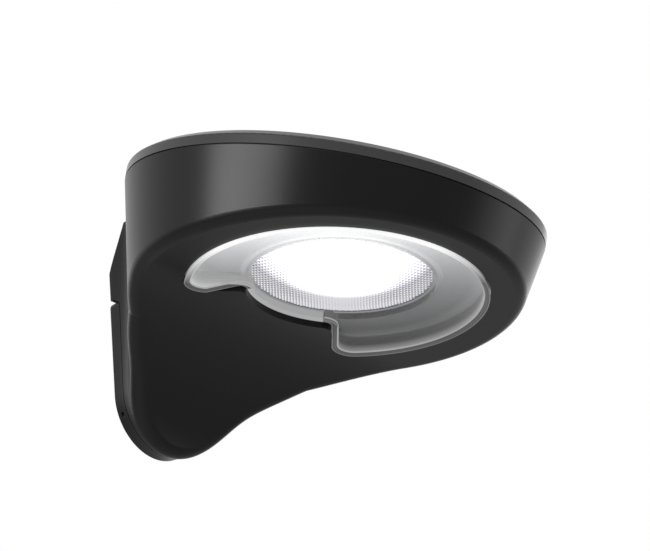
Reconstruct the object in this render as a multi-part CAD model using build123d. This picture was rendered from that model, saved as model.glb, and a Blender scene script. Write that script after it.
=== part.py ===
"""Solar fence light: a round sloping head on a short neck that hooks on a wall bracket.

Millimetres. The origin is the middle of the bracket's back face, which lies on the wall.
+Y points into the wall, -Y is the front, +Z is up and X runs across the light.
"""
from build123d import *
from math import atan, cos, radians, sin, sqrt, tan
import os

# ---- head: a cone that widens upwards, closed by a cover that slopes down to the front
top_r = 52.5            # radius of the head at the seam under the cover
top_tilt = 10.7         # slope of the seam, lower at the front, degrees
side_draft = 10.7       # half angle of the cone, degrees, so that its rear is upright
seam_height = 21.2      # middle of the seam above the underside
rear_gap = 10.3         # wall to the rear of the seam
underside_z = 8.0       # flat underside of the head
wall_t = 2.1            # side wall
floor_t = 2.0           # floor around the lens
edge_round = 3.0        # rounding of the lower edge

# ---- neck and foot: the underside sweeps down the wall
sweep_r = 38.0          # concave sweep from the underside to the foot
sweep_back = 5.5         # wall to the rear of the sweep's arc
foot_r = 14.0           # half width of the foot at the wall, and its round end
foot_centre_z = -4.3    # centre of the round end
neck_flare = [          # distance from the wall, extra half width there, lean of the sides there
    (0.0, 0.0, 0.115), (4.0, 0.6, 0.10), (8.0, 2.7, 0.06), (12.0, 6.8, 0.02),
    (16.0, 11.6, -0.02), (20.0, 15.6, -0.05), (24.0, 19.0, -0.08)]
neck_front_top = 12.0   # top of the neck at its front, inside the head
neck_top_z = 25.0       # top of the neck's upright back
neck_shoulder = (6.0, 37.6)   # distance from the wall and height where its slope meets the head
neck_rise = 60.0        # height of the neck's blank, above its round end
neck_floor_z = -9.0     # lowest point of the hollow in the neck
ledge_wall_t = 1.2      # wall above the step for the bracket

# ---- wall bracket
bracket_t = 3.4
bracket_top_z = 18.25
bracket_corner = 1.5
bracket_round = 2.0     # of its top front edge
part_gap = 0.2          # between the bracket's front and the neck
top_gap = 0.4           # between the bracket's top and the step in the neck
back_gap = 0.3          # between the neck's back and the wall
screw_spacing = 22.0
screw_hole_r = 2.1
screw_sink_r = 4.3
slit_w = 0.9            # pry slit in each edge of the bracket
slit_depth = 2.0
slit_h = 4.0
slit_z = -12.5

# ---- hooks of the bracket and their slots in the neck
hook_x = 8.6            # middle of each hook
hook_w = 5.0
hook_neck_h = 3.0
hook_bottom_z = -1.0
hook_finger_h = 7.5
hook_finger_t = 1.8
hook_clear = 0.4        # behind the wall that the finger grips
slot_clear = 0.3
slot_top_clear = 0.1
lift_travel = 7.0       # lift that frees the hooks

# ---- lens opening: a disc bitten from the wall side by a tongue of the floor
lens_ahead = 1.6        # middle of the lens ahead of the middle of the seam
lens_inset = 14.5       # the opening's round is this much smaller than the seam
dome_r = 22.9
dome_ahead = 1.6        # middle of the dome ahead of the middle of the lens
tongue_half = (13.4, 20.3)   # half width of the tongue at two places
tongue_reach = (15.7, 22.7)   # how far behind the middle of the lens these lie
tip_round = 5.6
tongue_round = 2.5      # corners of the tongue beside the dome
glass_clear = 0.15
dome_notch = 1.0        # the opening's round around the dome, beyond the dome
flange_w = 2.0
gasket_t = 0.5
plate_t = 2.0
lip_w = 1.4
lip_proud = 0.5         # lip's lower edge below the underside
plug_overlap = 0.2      # the plug's top within the plate
dome_sag = 4.2
dome_t = 1.4
dome_flange_t = 1.0
dome_flange_w = 1.8

# ---- reflector and light board
reflector_t = 1.0
funnel_rise = 4.5
funnel_r = 9.5
funnel_inset = 0.6       # foot of the funnel inside the dome's edge
funnel_t = 2.0
ear_r = 3.0
ear_out = 5.2            # middle of each ear beyond the opening's round
ear_angles = (8.0, 172.0, 222.0, 318.0)   # anticlockwise from +X, with the front at 90
ear_thread = 3.6
ear_arm = (8.0, 5.0)     # length and width of the arm behind each ear
ear_arm_at = 0.93        # its middle, as a share of the ear's reach
post_r = 2.4
led_board_r = 18.5
board_t = 1.6
led_size = (3.5, 2.8, 0.8)
led_pitch = 5.2
led_screw_reach = 15.0
led_post_r = 2.0
led_thread = 1.6
thread_relief = 0.3      # pilot holes are deeper than their threads by this
pillar_margin = (3.5, 3.0)    # middle of each pillar inside the board's edges
pillar_r = 2.2
pillar_h = 7.6
pin_r = 0.4
pin_at = (3.0, 12.0)

# ---- control board
control_size = (52.0, 28.0)
chip_sizes = {          # across, along, height, x and y on the board
    "driver": (6.0, 5.0, 1.6, -12.0, -4.0),
    "charger": (5.0, 4.0, 1.5, 3.0, -6.0),
    "coil": (7.0, 7.0, 3.0, -4.0, 5.0),
    "sensor_amplifier": (4.0, 3.0, 1.2, 12.0, 5.0)}
capacitor_r = 2.0
capacitor_h = 3.2
capacitor_at = [(15.0, -6.0), (6.5, 3.0)]

# ---- battery: one 14500 cell across the rear of the head
cell_r = 7.1
cell_len = 50.0
cell_ahead = 21.7       # the cell's axis ahead of the rear of the seam
cell_axis_h = 15.8      # above the underside
cell_nub = (0.38, 1.0)   # radius as a share of the cell's, and height
cell_round = 0.4
holder_t = 1.5
holder_clear = 0.2
groove_clear = 0.1
contact_t = 0.5
contact_gap = 1.5
contact_half = 3.5       # half width of each plate
contact_drop = 5.5       # below the cell's axis
contact_rise = 0.8       # above the cell
spring_r = 3.5
dimple_r = 2.2
leg_w = 3.0
leg_pad_r = 2.4
leg_at = (17.5, 4.5)     # across, and before and behind the cell's axis

# ---- cover and solar panel, measured from the sloping seam plane
seam_gap = 0.4
band_h = 2.5
cover_h = 4.4
cover_bevel_w = 2.1      # from the band in to the crown
cover_rim_w = 3.0        # crown around the panel
ledge_t = 1.1
ledge_w = 4.7            # ledge under the panel
panel_clear = 0.2
panel_board_t = 1.2
cell_sheet_t = 0.3
window_t = 1.2
strip_count = 8
strip_gap = 1.0
strip_margin = 3.0
boss_inset = 7.3         # middle of each boss inside the seam's radius
boss_r = 2.6
boss_h = 9.0
web_t = 2.4
boss_angles = (45.0, 135.0, 225.0, 315.0)
seal_inset = 0.7
seal_w = 0.9
cover_round = 0.6        # edges of the band and the crown
cover_lip_h = 1.8
cover_lip_t = 1.2
cover_lip_clear = 0.35

# ---- screws inside the head
screw_r = 0.95
pilot_r = 1.0
thread_len = 6.0         # in the bosses and pillars
head_r = 1.8
head_h = 0.6
head_sink = 0.1          # cover screws lie this much below the ledge
hole_clear = 0.2         # around the shank and around the head

# ---- push switch in the back of the neck, above the bracket
button_z = 22.5
button_r = 1.8
button_clear = 0.25
button_recess = 0.2
button_flange_r = 2.45
button_flange_t = 0.6
button_travel = 0.8
stem_r = 0.9
stem_len = 2.4
switch_w = 5.2
switch_d = 5.0
switch_gap = 0.6         # between the pressed flange and the switch
switch_bore_clear = 0.3
switch_bore_extra = 1.2
switch_rib_t = 1.2
switch_clear = 0.2
button_neck = 0.05       # flange ahead of the wall's inner face

# ---- wires
wire_r = 0.55
wire_bend = 2.0
cell_wire_rise = 2.6     # straight run above each contact
cell_wire_pad = (7.2, 3.0)       # inside the board's side and rear edges
cell_wire_drop = 6.5     # straight run above the board
panel_wire_pad = (8.0, 1.5)      # inside the side edge, and ahead of the middle
panel_wire_top = (13.0, 1.0)     # across, and behind the middle of the seam
panel_wire_run = 3.0
panel_wire_bend = 1.3
switch_wire_x = 1.6
switch_wire_pad = 2.0    # inside the board's rear edge
switch_wire_runs = (4.0, 10.0)   # ahead of the switch: straight run, start of the high run
wire_over_cell = 1.6
wire_past_cell = 12.0
wire_dip = 4.0

# ---- heights and places worked out from the sizes above
seam_reach = rear_gap + top_r * cos(radians(top_tilt))
lens_reach = seam_reach + lens_ahead
dome_reach = lens_reach + dome_ahead
sweep_reach = sweep_back + sweep_r
lens_r = top_r - lens_inset
ear_reach = lens_r + ear_out
boss_reach = top_r - boss_inset
cover_crown_r = top_r - cover_bevel_w
bed_r = cover_crown_r - cover_rim_w
ledge_r = bed_r - ledge_w
panel_r = bed_r - panel_clear
cell_reach = rear_gap + cell_ahead
seam_z = underside_z + seam_height
floor_z = underside_z + floor_t
plate_z = floor_z + gasket_t
dome_base_z = plate_z + plate_t
reflector_z = dome_base_z + dome_flange_t
led_board_z = reflector_z + reflector_t + funnel_rise
control_z = reflector_z + reflector_t + pillar_h
back_face = bracket_t + part_gap
neck_skin = back_face + wall_t
dome_hole_r = dome_r + glass_clear
funnel_foot_r = dome_r - funnel_inset
control_top = control_z + board_t
panel_w = seam_gap + ledge_t
reach_far = 200.0

seam = Plane(origin=(0, -seam_reach, seam_z), x_dir=(1, 0, 0),
             z_dir=(0, -sin(radians(top_tilt)), cos(radians(top_tilt))))
head_depth = top_r * 1.4


def on_seam(shape):
    """Moves a shape drawn about the origin to the sloping seam plane."""
    return seam.location * shape


def at(x, distance, z):
    """A place given by its distance in front of the wall."""
    return Location((x, -distance, z))


def box_between(x0, x1, distance0, distance1, z0, z1):
    """A box from two heights, two sides and two distances in front of the wall."""
    size = (x1 - x0, distance1 - distance0, z1 - z0)
    centre = Location(((x0 + x1) / 2, -(distance0 + distance1) / 2, (z0 + z1) / 2))
    return centre * Box(*size)


def post(r, x, distance, z0, z1):
    """An upright cylinder."""
    return at(x, distance, (z0 + z1) / 2) * Cylinder(r, z1 - z0)


def head_cone(inset, top):
    """The head's cone, inset square to its side, up to a height above the seam plane."""
    shrink = inset / cos(radians(side_draft))
    slope = tan(radians(side_draft))
    r_high = top_r + top * slope - shrink
    r_low = top_r - head_depth * slope - shrink
    blank = Cone(r_low, r_high, head_depth + top, align=(Align.CENTER, Align.CENTER, Align.MIN))
    return on_seam(Location((0, 0, -head_depth)) * blank)


def neck_section(distance, extra, lean, inset):
    """The neck seen from the front at one distance from the wall: a round end and leaning sides."""
    r = foot_r + extra - inset
    tilt = atan(lean)
    low, base = r * cos(tilt), foot_centre_z - r * sin(tilt)
    high = low + lean * neck_rise
    top = base + neck_rise
    outline = Polyline((low, base), (high, top), (-high, top), (-low, base))
    round_end = ThreePointArc((-low, base), (0, foot_centre_z - r), (low, base))
    face = make_face([*outline.edges(), round_end])
    return Plane(origin=(0, -distance, 0), x_dir=(1, 0, 0), z_dir=(0, -1, 0)) * face


def neck_blank(inset):
    """The flared neck, from the wall into the head."""
    return loft([neck_section(*place, inset) for place in neck_flare])


def side_profile(points):
    """A solid with this outline in the upright fore-and-aft plane, all across the light."""
    face = Plane.YZ * make_face(Polyline(*points, close=True))
    return extrude(face, reach_far, both=True)


def under_cutter(inset):
    """All that lies under the flat underside and the concave sweep, raised by a skin's inset."""
    sweep = at(0, sweep_reach, underside_z - sweep_r) * Rotation(0, 90, 0)
    flat = box_between(-reach_far, reach_far, sweep_reach, reach_far, -reach_far, underside_z + inset)
    return flat + sweep * Cylinder(sweep_r + inset, 2 * reach_far)


def neck_solid(inset):
    """The neck between its back, its sloping top and the concave sweep, before the step."""
    shoulder_d, shoulder_z = neck_shoulder
    slope = (shoulder_z - neck_top_z) / shoulder_d
    lift = inset * sqrt(1 + slope ** 2)
    front = neck_flare[-1][0]
    low = foot_centre_z - 2 * foot_r - reach_far
    outline = [(0, low), (0, neck_top_z - lift), (-shoulder_d, shoulder_z - lift),
               (-rear_gap, shoulder_z - lift), (-front, neck_front_top - inset), (-front, low)]
    return neck_blank(inset) & side_profile(outline)


def rounded(form, within):
    """A form cut off at the underside, with the edge of the underside rounded."""
    body = form - under_cutter(0)
    under = [f for f in body.faces() if is_under(f)]
    rim = [e for f in under for e in f.edges() if not shared(e, under) and -e.center().Y < within]
    return fillet(ShapeList(rim), edge_round)


def outer_form():
    """The outside of the shell, head and neck together."""
    front = neck_flare[-1][0]
    return rounded(head_cone(0, 0), reach_far) + rounded(neck_solid(0), front - 0.5)


def is_under(face):
    """True for the flat underside and the concave sweep."""
    middle = face.center(CenterOf.MASS)
    if face.geom_type == GeomType.PLANE:
        return abs(middle.Z - underside_z) < 1e-3 and face.normal_at(middle).Z < -0.99
    if face.geom_type != GeomType.CYLINDER:
        return False
    from_axis = sqrt((-middle.Y - sweep_reach) ** 2 + (middle.Z - underside_z + sweep_r) ** 2)
    return abs(face.radius - sweep_r) < 1e-3 and from_axis > 0.8 * sweep_r


def shared(edge, faces):
    """True if an edge lies between two of these faces."""
    middle = edge.position_at(0.5)
    return sum(1 for f in faces if f.distance_to(Vertex(*middle)) < 1e-4) > 1


# ---- flat outlines, drawn about the middle of the lens with the wall towards +y
def lens_opening():
    """The opening in the floor: the bitten disc and the dome's hole."""
    near_x, far_x = tongue_half
    near_y, far_y = tongue_reach
    slope = (far_y - near_y) / (far_x - near_x)
    inner_x = near_x / 2
    inner_y = near_y - (near_x - inner_x) * slope
    side = near_y + (reach_far - near_x) * slope
    tongue = make_face(Polyline((-inner_x, inner_y), (inner_x, inner_y), (reach_far, side),
                                (reach_far, 2 * reach_far), (-reach_far, 2 * reach_far),
                                (-reach_far, side), close=True))
    dome_hole = Location((0, -dome_ahead)) * Circle(dome_r + dome_notch)
    whole = (Circle(lens_r) - tongue) + dome_hole
    tips = whole.vertices().filter_by(lambda v: sqrt(v.X ** 2 + v.Y ** 2) > lens_r - 0.01)
    whole = fillet(tips, tip_round)
    corners = whole.vertices().filter_by(
        lambda v: abs(sqrt(v.X ** 2 + (v.Y + dome_ahead) ** 2) - dome_r - dome_notch) < 0.01)
    return fillet(corners, tongue_round)


def slab(sketch, z0, z1):
    """A flat outline of the lens made solid between two heights."""
    return at(0, lens_reach, z0) * extrude(sketch, z1 - z0)


def about_lens(angle, reach):
    """Across and distance from the wall of a place on a circle about the lens; front is at 90."""
    return reach * cos(radians(angle)), lens_reach + reach * sin(radians(angle))


def turned(points):
    """A ring or disc turned about the middle of the dome from (radius, height) points."""
    face = Plane.XZ * make_face(Polyline(*points, close=True))
    return at(0, dome_reach, 0) * revolve(face, Axis.Z)


def ring(r0, r1, z0, z1):
    """A flat ring about the origin."""
    face = Plane.XZ * make_face(Polyline((r0, z0), (r1, z0), (r1, z1), (r0, z1), close=True))
    return revolve(face, Axis.Z)


# ---- shell
opening = lens_opening()
ear_places = [about_lens(a, ear_reach) for a in ear_angles]
board_half = (control_size[0] / 2, control_size[1] / 2)
pillar_x, pillar_y = board_half[0] - pillar_margin[0], board_half[1] - pillar_margin[1]
pillar_places = [(sx * pillar_x, lens_reach + sy * pillar_y) for sx in (-1, 1) for sy in (-1, 1)]
leg_places = [(sx * leg_at[0], cell_reach + sy * leg_at[1]) for sx in (-1, 1) for sy in (-1, 1)]
holder_half_d = cell_r + holder_t + holder_clear
cell_axis_z = underside_z + cell_axis_h
holder_bottom = cell_axis_z - cell_r - holder_t
holder_inside = cell_len / 2 + contact_gap + contact_t
switch_front = back_gap + wall_t + button_flange_t + button_travel + switch_gap
step_z = bracket_top_z + top_gap
contact_low = cell_axis_z - contact_drop
contact_high = cell_axis_z + cell_r + contact_rise


def boss(angle, r, w0, w1):
    """An upright cylinder of the cover's screw circle, in the seam's own frame."""
    x, y = boss_reach * cos(radians(angle)), boss_reach * sin(radians(angle))
    return on_seam(Location((x, y, (w0 + w1) / 2)) * Cylinder(r, w1 - w0))


def boss_web(angle):
    """A rib from a boss into the side wall."""
    length = top_r - wall_t / 2 - boss_reach
    rib = Location((boss_reach + length / 2, 0, -boss_h / 2)) * Box(length, web_t, boss_h)
    return on_seam(Rotation(0, 0, angle) * rib)


def hollow():
    """The space inside the shell, before what stands in it."""
    far = 2 * neck_flare[-1][0]
    behind_bracket = box_between(-reach_far, reach_far, neck_skin, far, neck_floor_z, reach_far)
    behind_wall = box_between(-reach_far, reach_far, back_gap + wall_t, far,
                              step_z + ledge_wall_t, reach_far)
    neck = neck_solid(wall_t) & (behind_bracket + behind_wall)
    room = head_cone(wall_t, 2) + neck
    above = box_between(-reach_far, reach_far, 0, reach_far, neck_floor_z, reach_far)
    return (room & above) - under_cutter(floor_t)


def standing():
    """What stands inside the shell: bosses, posts, pads and the ribs beside the switch."""
    parts = [boss(a, boss_r, -boss_h, 0) for a in boss_angles]
    parts += [boss_web(a) for a in boss_angles]
    parts += [post(post_r, x, d, floor_z - 1, reflector_z) for x, d in ear_places]
    parts += [post(leg_pad_r, x, d, underside_z - 3, floor_z) for x, d in leg_places]
    for side in (-1, 1):
        x0, x1 = sorted((side * switch_w / 2, side * (switch_w / 2 + switch_rib_t)))
        parts.append(box_between(x0, x1, back_gap + 1, switch_front + switch_d,
                                 step_z + ledge_wall_t / 2,
                                 button_z + switch_w / 2 + switch_clear))
    return parts


def hook_slot(side):
    """The slot in the neck's back wall that a hook reaches through, with room to lift."""
    x = side * hook_x
    half = hook_w / 2 + slot_clear
    top = hook_bottom_z + hook_neck_h + slot_top_clear
    low = hook_bottom_z - lift_travel - slot_clear
    return box_between(x - half, x + half, back_face - 1, neck_skin + 1, low, top)


def behind(distance, top, r):
    """All that lies behind a distance from the wall and below a height, with a rounded edge."""
    room = box_between(-reach_far, reach_far, -reach_far, distance, -reach_far, top)
    edge = room.edges().filter_by(Axis.X).sort_by(lambda e: e.center().Z - e.center().Y)[-1]
    return fillet(edge, r)


def body_shell():
    room = hollow()
    for piece in standing():
        room -= piece
    shell = outer_form() - room
    shell -= behind(back_face, step_z, bracket_round + part_gap)
    shell -= box_between(-reach_far, reach_far, -reach_far, back_gap, -reach_far, reach_far)
    shell -= slab(opening, underside_z - 1, floor_z + 0.5)
    for side in (-1, 1):
        shell -= hook_slot(side)
    shell -= rod(button_r + button_clear, 0, back_face + wall_t)
    for a in boss_angles:
        shell -= boss(a, pilot_r, -thread_len - 1, 1)
    for x, d in ear_places:
        shell -= post(pilot_r, x, d, reflector_z - ear_thread - thread_relief, reflector_z + 1)
    return shell


# ---- bracket
def wall_bracket():
    inner = box_between(-reach_far, reach_far, 0, bracket_t, -reach_far, bracket_top_z)
    plate = neck_blank(0) & inner
    corners = plate.edges().filter_by(
        lambda e: e.center().Z > bracket_top_z - 0.01 and abs(e.center().X) > foot_r - 1)
    plate = fillet(corners, bracket_corner) & behind(bracket_t, bracket_top_z, bracket_round)
    for z in (-screw_spacing / 2, screw_spacing / 2):
        hole = Rotation(90, 0, 0) * Cylinder(screw_hole_r, 4 * bracket_t)
        sink = Rotation(90, 0, 0) * Cone(screw_hole_r, screw_sink_r, screw_sink_r - screw_hole_r,
                                         align=(Align.CENTER, Align.CENTER, Align.MAX))
        plate -= at(0, 0, z) * hole
        plate -= at(0, bracket_t, z) * sink
    for side in (-1, 1):
        x0, x1 = sorted((side * (foot_r - slit_depth), side * (foot_r + 5)))
        plate -= box_between(x0, x1, bracket_t / 2 - slit_w / 2, bracket_t / 2 + slit_w / 2,
                             slit_z - slit_h / 2, slit_z + slit_h / 2)
        plate += hook(side)
    return plate


def hook(side):
    """One upturned hook that goes through the neck's back wall."""
    x0, x1 = side * hook_x - hook_w / 2, side * hook_x + hook_w / 2
    behind = neck_skin + hook_clear
    neck = box_between(x0, x1, bracket_t - 0.5, behind + hook_finger_t,
                       hook_bottom_z, hook_bottom_z + hook_neck_h)
    finger = box_between(x0, x1, behind, behind + hook_finger_t,
                         hook_bottom_z, hook_bottom_z + hook_finger_h)
    return neck + finger


# ---- cover, seal and solar panel
def cover_section():
    """Half section of the cover: band, bevel, crown, bed of the panel and ledge."""
    base = seam_gap
    face = make_face(Polyline((ledge_r, base), (top_r, base), (top_r, base + band_h),
                              (cover_crown_r, cover_h), (bed_r, cover_h),
                              (bed_r, base + ledge_t), (ledge_r, base + ledge_t), close=True))
    outer = face.vertices().filter_by(lambda v: v.Y > base + 0.01 and v.X > bed_r + 0.01)
    return fillet(outer, cover_round)


def top_cover():
    base = seam_gap
    cover = revolve(Plane.XZ * cover_section(), Axis.Z)
    lip_r = top_r - wall_t / cos(radians(side_draft)) - cover_lip_clear
    lip_r -= cover_lip_h * tan(radians(side_draft))
    lip = ring(lip_r - cover_lip_t, lip_r, -cover_lip_h, base)
    notch = Box(2 * cover_lip_t + 2 * boss_inset, 2 * boss_r + 1, 2 * boss_h)
    for a in boss_angles:
        lip -= Rotation(0, 0, a) * Location((boss_reach, 0, 0)) * notch
    cover += lip
    cover = on_seam(cover)
    for a in boss_angles:
        cover += boss(a, boss_r, 0, base + ledge_t / 2)
        cover -= boss(a, screw_r + hole_clear, -1, base + ledge_t + 1)
        cover -= boss(a, head_r + hole_clear, base + ledge_t - head_h - head_sink,
                      base + ledge_t + 1)
    return cover


def cover_seal():
    r = top_r - seal_inset
    return on_seam(ring(r - seal_w, r, 0, seam_gap))


def on_screw_circle(r, w0, w1):
    return [boss(a, r, w0, w1) for a in boss_angles]


def cover_screws():
    seat = seam_gap + ledge_t - head_h - head_sink
    shanks = on_screw_circle(screw_r, -thread_len, seat)
    heads = on_screw_circle(head_r, seat, seat + head_h)
    return Compound(children=[s + h for s, h in zip(shanks, heads)])


def panel_board():
    return on_seam(Location((0, 0, panel_w)) * extrude(Circle(panel_r), panel_board_t))


def solar_cells():
    low = panel_w + panel_board_t
    r = panel_r - strip_margin
    pitch = 2 * r / strip_count
    strips = []
    for i in range(strip_count):
        x = -r + (i + 0.5) * pitch
        strip = Circle(r) & (Location((x, 0)) * Rectangle(pitch - strip_gap, 2 * r))
        strips.append(on_seam(Location((0, 0, low)) * extrude(strip, cell_sheet_t)))
    return Compound(children=strips)


def panel_window():
    low = panel_w + panel_board_t + cell_sheet_t
    return on_seam(Location((0, 0, low)) * extrude(Circle(panel_r), window_t))


# ---- lens and dome
def crescent_lens():
    wide = offset(opening, flange_w)
    plug = offset(opening, -glass_clear)
    plate = slab(wide, plate_z, dome_base_z) + slab(plug, floor_z - plug_overlap, plate_z)
    dome_side = Location((0, -dome_ahead)) * Circle(dome_r + dome_notch + lip_w)
    lip = slab(plug - offset(opening, -glass_clear - lip_w) - dome_side,
               underside_z - lip_proud, floor_z)
    hole = post(dome_hole_r, 0, dome_reach, underside_z, dome_base_z + plate_t)
    return (plate + lip) - hole


def lens_seal():
    band = offset(opening, flange_w - seal_inset / 2) - offset(opening, seal_inset / 2)
    return slab(band, floor_z, plate_z)


def bowl(r, z, sag):
    """Half section of a shallow bowl that hangs from radius r at height z: three points."""
    ball = (r ** 2 + sag ** 2) / (2 * sag)
    mid = r / 2
    return (0, z - sag), (mid, z - sag + ball - sqrt(ball ** 2 - mid ** 2)), (r, z)


def dome_lens():
    top = dome_base_z + dome_flange_t
    low, mid, rim = bowl(dome_r, dome_base_z, dome_sag)
    low_in, mid_in, rim_in = bowl(dome_r - dome_t, top, dome_sag + dome_flange_t - dome_t)
    flange_r = dome_hole_r + dome_flange_w
    edges = [ThreePointArc(low, mid, rim),
             Polyline(rim, (flange_r, dome_base_z), (flange_r, top), rim_in),
             ThreePointArc(rim_in, mid_in, low_in), Line(low_in, low)]
    outline = [e for curve in edges for e in curve.edges()]
    face = Plane.XZ * make_face(outline)
    return at(0, dome_reach, 0) * revolve(face, Axis.Z)


# ---- reflector, light board and the screws that hold them
def reflector():
    z0, z1 = reflector_z, reflector_z + reflector_t
    tray = slab(offset(opening, flange_w), z0, z1)
    for x, d in ear_places:
        tray += post(ear_r, x, d, z0, z1)
        along = Vector(x, lens_reach - d, 0)
        middle = lens_reach + (d - lens_reach) * ear_arm_at
        tray += at(x * ear_arm_at, middle, (z0 + z1) / 2) * \
            Rotation(0, 0, -degrees_of(along)) * Box(*ear_arm, reflector_t)
    top = z1 + funnel_rise
    tray += turned([(funnel_foot_r - 1, z0), (funnel_r, top), (funnel_r + funnel_t, top),
                    (funnel_foot_r + funnel_t, z0)])
    for side in (-1, 1):
        tray += post(led_post_r, side * led_screw_reach, dome_reach, z1, top)
    for x, d in pillar_places:
        tray += post(pillar_r, x, d, z1, control_z)
    tray -= turned([(0, z0 - 1), (funnel_foot_r, z0 - 1), (funnel_foot_r, z0), (funnel_r, top),
                    (funnel_r, top + 1), (0, top + 1)])
    for x, d in ear_places:
        tray -= post(screw_r + hole_clear, x, d, z0 - 1, z1 + 1)
    for x, d in pillar_places:
        tray -= post(pilot_r, x, d, control_z - thread_len - thread_relief, control_z + 1)
    for side in (-1, 1):
        tray -= post(pilot_r, side * led_screw_reach, dome_reach, top - led_thread - thread_relief,
                     top + 1)
    return tray


def degrees_of(v):
    """Angle of a flat vector from +X, clockwise towards the front."""
    return -Vector(1, 0, 0).get_signed_angle(v, Vector(0, 0, 1))


def screw(x, distance, seat_z, length):
    """A pan-head screw seated at a height, with its thread below."""
    return post(screw_r, x, distance, seat_z - length, seat_z) + \
        post(head_r, x, distance, seat_z, seat_z + head_h)


def reflector_screws():
    seat = reflector_z + reflector_t
    return Compound(children=[screw(x, d, seat, ear_thread + reflector_t)
                              for x, d in ear_places])


def led_board():
    board = post(led_board_r, 0, dome_reach, led_board_z, led_board_z + board_t)
    for side in (-1, 1):
        board -= post(screw_r + hole_clear, side * led_screw_reach, dome_reach,
                      led_board_z - 1, led_board_z + board_t + 1)
    return board


def leds():
    places = [(0, 0)] + [(led_pitch * cos(radians(60 * i)), led_pitch * sin(radians(60 * i)))
                         for i in range(6)]
    wide, deep, high = led_size
    return Compound(children=[at(x, dome_reach + y, led_board_z - high / 2) * Box(wide, deep, high)
                              for x, y in places])


def led_board_screws():
    seat = led_board_z + board_t
    return Compound(children=[screw(side * led_screw_reach, dome_reach, seat, board_t + led_thread)
                              for side in (-1, 1)])


# ---- control board
def control_board():
    wide, deep = control_size
    board = at(0, lens_reach, control_z + board_t / 2) * Box(wide, deep, board_t)
    for x, d in pillar_places:
        board -= post(screw_r + hole_clear, x, d, control_z - 1, control_top + 1)
    return board


def control_chips():
    return Compound(children=[at(x, lens_reach - y, control_top + high / 2) * Box(wide, deep, high)
                              for wide, deep, high, x, y in chip_sizes.values()])


def capacitors():
    return Compound(children=[post(capacitor_r, x, lens_reach - y, control_top,
                                   control_top + capacitor_h) for x, y in capacitor_at])


def control_screws():
    return Compound(children=[screw(x, d, control_top, thread_len) for x, d in pillar_places])


def led_link_pins():
    x, y = pin_at
    return Compound(children=[post(pin_r, side * x, dome_reach + y, led_board_z + board_t,
                                   control_z) for side in (-1, 1)])


# ---- battery
def battery_cell():
    can = at(0, cell_reach, cell_axis_z) * Rotation(0, 90, 0)
    share, nub = cell_nub
    body = can * Location((0, 0, -nub / 2)) * Cylinder(cell_r, cell_len - nub)
    end = can * Location((0, 0, cell_len / 2 - nub / 2)) * Cylinder(cell_r * share, nub)
    return fillet(body.edges(), cell_round) + end


def battery_holder():
    half_x = holder_inside + holder_t
    tray = box_between(-half_x, half_x, cell_reach - holder_half_d, cell_reach + holder_half_d,
                       holder_bottom, cell_axis_z)
    groove_r = cell_r + groove_clear
    tray -= at(0, cell_reach, cell_axis_z + groove_clear) * Rotation(0, 90, 0) * \
        Cylinder(groove_r, 2 * holder_inside)
    for x, d in leg_places:
        tray += at(x, d, (floor_z + holder_bottom + 1) / 2) * \
            Box(leg_w, leg_w, holder_bottom + 1 - floor_z)
    return tray - battery_room()


def battery_room():
    """Room for the contact plates at the ends of the holder."""
    x0, x1 = holder_inside - contact_t, holder_inside
    half = contact_half
    return box_between(x0, x1, cell_reach - half, cell_reach + half, contact_low, reach_far) + \
        box_between(-x1, -x0, cell_reach - half, cell_reach + half, contact_low, reach_far)


def battery_contacts():
    pieces = []
    for side, r in ((-1, spring_r), (1, dimple_r)):
        x0, x1 = sorted((side * (holder_inside - contact_t), side * holder_inside))
        plate = box_between(x0, x1, cell_reach - contact_half, cell_reach + contact_half,
                            contact_low, contact_high)
        bump_x = side * (cell_len / 2 + contact_gap / 2)
        bump = at(bump_x, cell_reach, cell_axis_z) * Rotation(0, 90, 0) * Cylinder(r, contact_gap)
        pieces.append(plate + bump)
    return Compound(children=pieces)


# ---- switch and its button
def power_button():
    d0 = back_gap + button_recess
    flange = back_gap + wall_t + button_neck
    return rod(button_r, d0, flange + 0.1) + rod(button_flange_r, flange, flange + button_flange_t) \
        + rod(stem_r, flange, flange + button_flange_t + stem_len)


def rod(r, d0, d1):
    """A cylinder on the button's axis between two distances from the wall."""
    return at(0, (d0 + d1) / 2, button_z) * Rotation(90, 0, 0) * Cylinder(r, d1 - d0)


def switch_body():
    half = switch_w / 2
    box = box_between(-half, half, switch_front, switch_front + switch_d,
                      button_z - half, button_z + half)
    return box - rod(stem_r + switch_bore_clear, switch_front - 1, switch_front + stem_len + switch_bore_extra)


# ---- wires
def wire(points, r=wire_r, bend=wire_bend):
    """A round wire along straight runs joined by arcs; points are (x, distance, z)."""
    places = [(x, -d, z) for x, d, z in points]
    path = FilletPolyline(*places, radius=bend)
    start = Plane(origin=path @ 0, z_dir=path % 0)
    return sweep(start * Circle(r), path=path)


def from_seam(x, y, w):
    """Row coordinates of a place in the seam's frame, as (x, distance, z)."""
    p = seam.from_local_coords((x, y, w))
    return (p.X, -p.Y, p.Z)


def battery_wires():
    pieces = []
    for side in (-1, 1):
        x = side * (holder_inside - contact_t / 2)
        pad_x = side * (board_half[0] - cell_wire_pad[0])
        pad_d = lens_reach - board_half[1] + cell_wire_pad[1]
        pieces.append(wire([(x, cell_reach, contact_high),
                            (x, cell_reach, contact_high + cell_wire_rise),
                            (pad_x, pad_d, control_top + cell_wire_drop),
                            (pad_x, pad_d, control_top)]))
    return Compound(children=pieces)


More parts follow.
